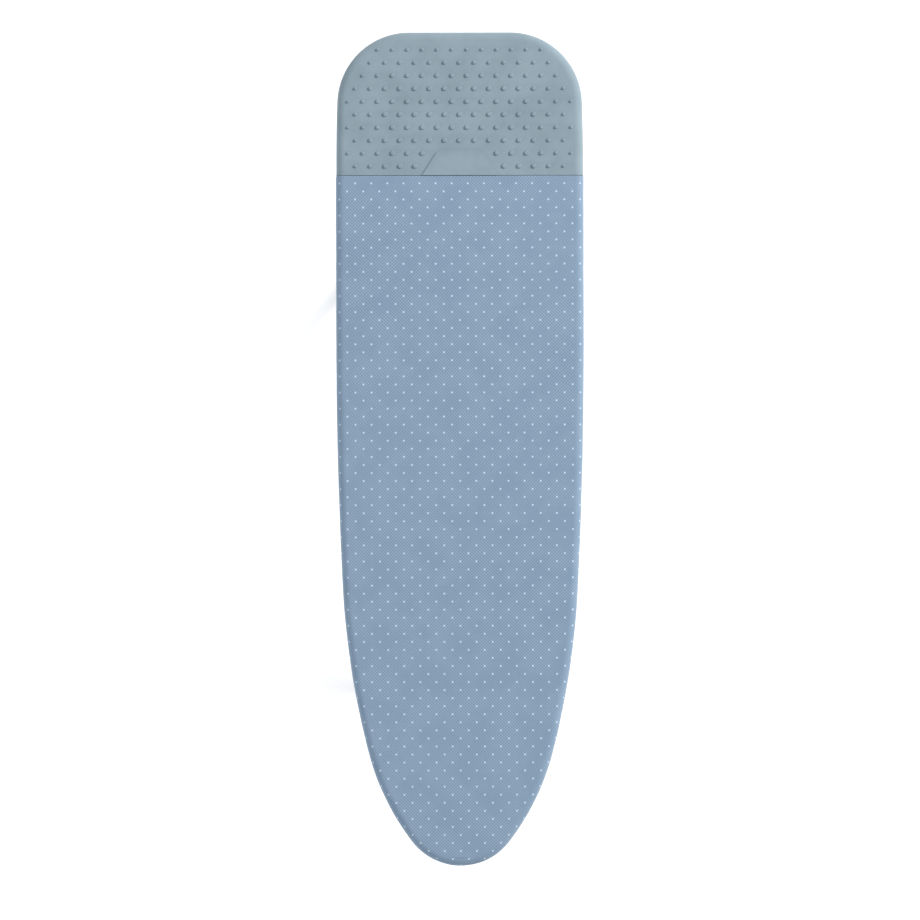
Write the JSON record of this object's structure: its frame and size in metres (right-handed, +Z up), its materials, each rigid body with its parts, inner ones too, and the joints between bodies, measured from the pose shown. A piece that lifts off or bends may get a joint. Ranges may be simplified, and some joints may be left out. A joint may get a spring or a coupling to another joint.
{
  "type": "ironing board",
  "caption": "Full-size ironing board with a padded printed cover, a studded silicone iron rest at the square end, and folding crossed legs with a height lock.",
  "frame": {"origin": "on the floor below the middle of the board's bounding box", "axes": "+Z up, +X from the square end to the nose, +Y to the side that the release lever's grip is on"},
  "size_m": [1.2473, 0.3706, 0.9019],
  "materials": {
    "cover_cloth": "printed cotton weave, matt, slightly napped",
    "binding": "ribbed elastic tape",
    "foam": "open-cell foam",
    "felt": "needled felt",
    "silicone": "matt moulded silicone",
    "moulded_grey": "fine-grained moulding",
    "grip_plastic": "soft-touch moulding",
    "painted_steel": "satin powder coat",
    "zinc_steel": "bright zinc plate",
    "foot_rubber": "matt moulded rubber"
  },
  "bodies": {
    "board": {"bracket_rivets": "zinc_steel", "cover": "cover_cloth", "cover_binding": "binding", "deck": "painted_steel", "felt_underlay": "felt", "foam_pad": "foam", "front_rib": "painted_steel", "guide_pins": "zinc_steel", "height_rail": "painted_steel", "iron_rest_mat": "silicone", "latch_post": "zinc_steel", "lever_bracket": "painted_steel", "lever_pin": "zinc_steel", "lock_spring": "zinc_steel", "middle_rib": "painted_steel", "nose_rib": "painted_steel", "pivot_bracket_left": "painted_steel", "pivot_bracket_right": "painted_steel", "pivot_pins": "zinc_steel", "rail_bumper_front": "moulded_grey", "rail_bumper_rear": "moulded_grey", "rail_rivets": "zinc_steel", "rest_screws": "zinc_steel", "rest_tray": "moulded_grey"},
    "outer_legs": {"outer_foot_bar": "painted_steel", "outer_foot_cap_left": "foot_rubber", "outer_foot_cap_right": "foot_rubber", "outer_leg_brace": "painted_steel", "outer_leg_plug_left": "moulded_grey", "outer_leg_plug_right": "moulded_grey", "outer_leg_tube_left": "painted_steel", "outer_leg_tube_right": "painted_steel", "cross_bolts": "zinc_steel", "cross_washers": "zinc_steel", "cross_nuts": "zinc_steel", "cross_spacer_left": "moulded_grey", "cross_spacer_right": "moulded_grey"},
    "inner_legs": {"inner_foot_bar": "painted_steel", "inner_foot_cap_left": "foot_rubber", "inner_foot_cap_right": "foot_rubber", "inner_leg_brace": "painted_steel", "inner_leg_plug_left": "moulded_grey", "inner_leg_plug_right": "moulded_grey", "inner_leg_tube_left": "painted_steel", "inner_leg_tube_right": "painted_steel", "slider_axle": "zinc_steel", "axle_cap_left": "moulded_grey", "axle_cap_right": "moulded_grey"},
    "slider": {"slider_block_left": "moulded_grey", "slider_block_right": "moulded_grey"},
    "lever": {"release_lever": "zinc_steel", "lever_grip": "grip_plastic"},
    "lock": {"lock_plate": "zinc_steel"},
    "latch": {"storage_latch": "moulded_grey"}
  },
  "joints": [
    {"name": "leg_fold", "type": "hinge", "parent": "board", "child": "outer_legs", "pos_m": [0.243, 0, 0.854], "axis": [0, 1, 0], "range_deg": [0, 53]},
    {"name": "leg_cross", "type": "hinge", "parent": "outer_legs", "child": "inner_legs", "pos_m": [0, 0, 0.53], "axis": [0, 1, 0], "range_deg": [-106.5, 0.5]},
    {"name": "axle_turn", "type": "hinge", "parent": "inner_legs", "child": "slider", "pos_m": [-0.243, 0, 0.854], "axis": [0, 1, 0], "range_deg": [-0.5, 53.5]},
    {"name": "lever_squeeze", "type": "hinge", "parent": "board", "child": "lever", "pos_m": [-0.42, -0.07, 0.874], "axis": [1, 0, 0], "range_deg": [0, 3.67], "stiffness_Nm_per_rad": 2, "springref_deg": -8.59},
    {"name": "lock_lift", "type": "slide", "parent": "board", "child": "lock", "axis": [0, 0, 1], "range_m": [-0.0001, 0.0046], "deforming": ["lock_spring"]},
    {"name": "latch_turn", "type": "hinge", "parent": "board", "child": "latch", "pos_m": [-0.5, 0.122, 0.85], "axis": [0, 0, 1], "range_deg": [0, 90]}
  ],
  "couplings": [
    {"joint": "leg_cross", "follows": "leg_fold", "ratio": -2},
    {"joint": "axle_turn", "follows": "leg_fold", "ratio": 1},
    {"joint": "lock_lift", "follows": "lever_squeeze", "m_per_rad": 0.07}
  ]
}
